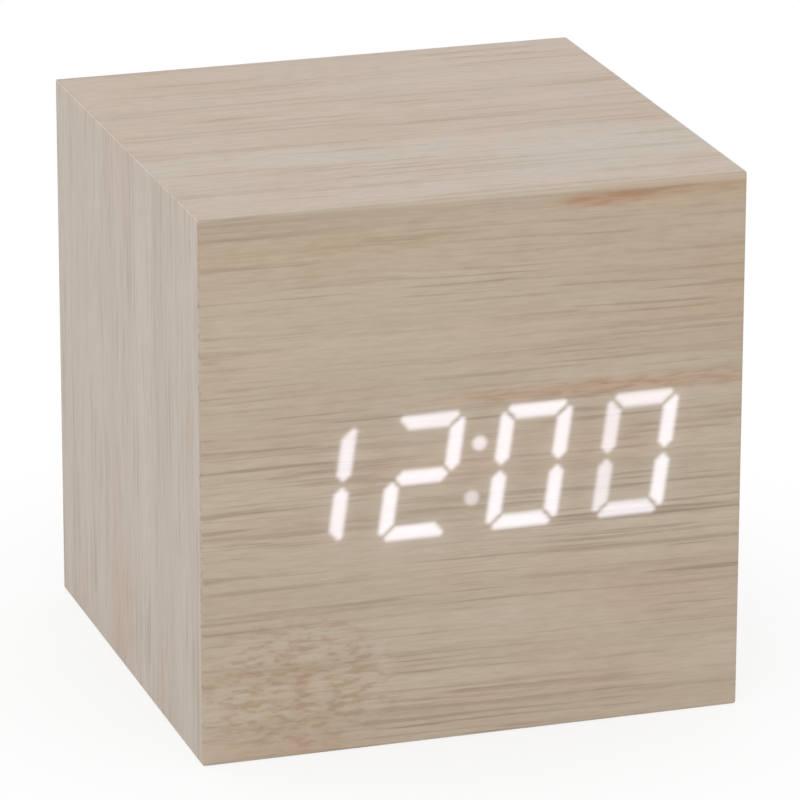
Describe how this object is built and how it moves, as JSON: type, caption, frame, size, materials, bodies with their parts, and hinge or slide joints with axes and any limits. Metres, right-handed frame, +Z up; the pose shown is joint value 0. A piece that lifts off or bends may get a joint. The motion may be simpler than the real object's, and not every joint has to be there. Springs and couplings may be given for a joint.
{
  "type": "digital alarm clock",
  "caption": "Cube-shaped wooden desk clock with lit seven-segment digits that shine through its front veneer, and a black back panel with push buttons, a power socket and a battery door.",
  "frame": {"origin": "under the middle of the base, on the surface that the clock stands on", "axes": "+Z up, -Y out of the front with the digits, +X to the right as seen from the front"},
  "size_m": [0.062, 0.059, 0.062],
  "materials": {
    "bamboo": "lightly oiled bamboo veneer, satin",
    "fibreboard": "raw medium-density fibreboard",
    "panel_black": "spark-textured moulded ABS",
    "button_black": "satin moulded ABS",
    "plunger_grey": "smooth moulded",
    "switch_metal": "moulded with a metal cover",
    "screw_steel": "zinc-plated",
    "spacer_nickel": "nickel-plated",
    "circuit_green": "solder mask, satin",
    "socket_nickel": "nickel-plated, satin",
    "tongue_black": "moulded",
    "reflector_white": "moulded, matt",
    "segment_resin": "cast diffusing resin",
    "light_chip": "phosphor-coated",
    "pin_brass": "tinned",
    "chip_black": "moulded epoxy, matt",
    "ribbon_grey": "soft vinyl, satin",
    "cell_sleeve": "printed sleeve, satin",
    "contact_nickel": "nickel-plated",
    "lead_red": "vinyl insulation",
    "lead_black": "vinyl insulation"
  },
  "bodies": {
    "case": {"front_veneer": "bamboo", "front_board": "fibreboard", "top_board": "bamboo", "bottom_board": "bamboo", "left_board": "bamboo", "right_board": "bamboo", "upper_batten": "fibreboard", "lower_batten": "fibreboard", "back_panel": "panel_black", "panel_screws": "screw_steel", "switch_set": "switch_metal", "switch_up": "switch_metal", "switch_down": "switch_metal", "key_board": "circuit_green", "key_board_screws": "screw_steel", "socket_shell": "socket_nickel", "socket_tongue": "tongue_black", "microphone": "socket_nickel", "display_housing": "reflector_white", "segment_lenses": "segment_resin", "display_base": "circuit_green", "light_chips": "light_chip", "display_pins": "pin_brass", "main_board": "circuit_green", "board_spacers": "spacer_nickel", "board_screws": "screw_steel", "controller_chip": "chip_black", "crystal": "socket_nickel", "buzzer": "chip_black", "temperature_sensor": "chip_black", "ribbon_headers": "reflector_white", "ribbon_cable": "ribbon_grey", "cell_1": "cell_sleeve", "cell_2": "cell_sleeve", "cell_3": "cell_sleeve", "plus_contact": "contact_nickel", "minus_contact": "contact_nickel", "left_bridge": "contact_nickel", "right_bridge": "contact_nickel", "contact_spring_1": "contact_nickel", "contact_spring_2": "contact_nickel", "contact_spring_3": "contact_nickel", "plus_lead": "lead_red", "minus_lead": "lead_black"},
    "battery_door": {"battery_door": "panel_black", "door_catch": "panel_black"},
    "button_set": {"button_set": "button_black", "plunger_set": "plunger_grey"},
    "button_up": {"button_up": "button_black", "plunger_up": "plunger_grey"},
    "button_down": {"button_down": "button_black", "plunger_down": "plunger_grey"}
  },
  "joints": [
    {"name": "battery_door_hinge", "type": "hinge", "parent": "case", "child": "battery_door", "pos_m": [0, 0.0279, 0.01005], "axis": [-1, 0, 0], "range_deg": [0, 80], "deforming": ["door_catch"]},
    {"name": "button_set_press", "type": "slide", "parent": "case", "child": "button_set", "axis": [0, -1, 0], "range_m": [0, 0.0004], "stiffness_N_per_m": 1000},
    {"name": "button_up_press", "type": "slide", "parent": "case", "child": "button_up", "axis": [0, -1, 0], "range_m": [0, 0.0004], "stiffness_N_per_m": 1000},
    {"name": "button_down_press", "type": "slide", "parent": "case", "child": "button_down", "axis": [0, -1, 0], "range_m": [0, 0.0004], "stiffness_N_per_m": 1000}
  ]
}
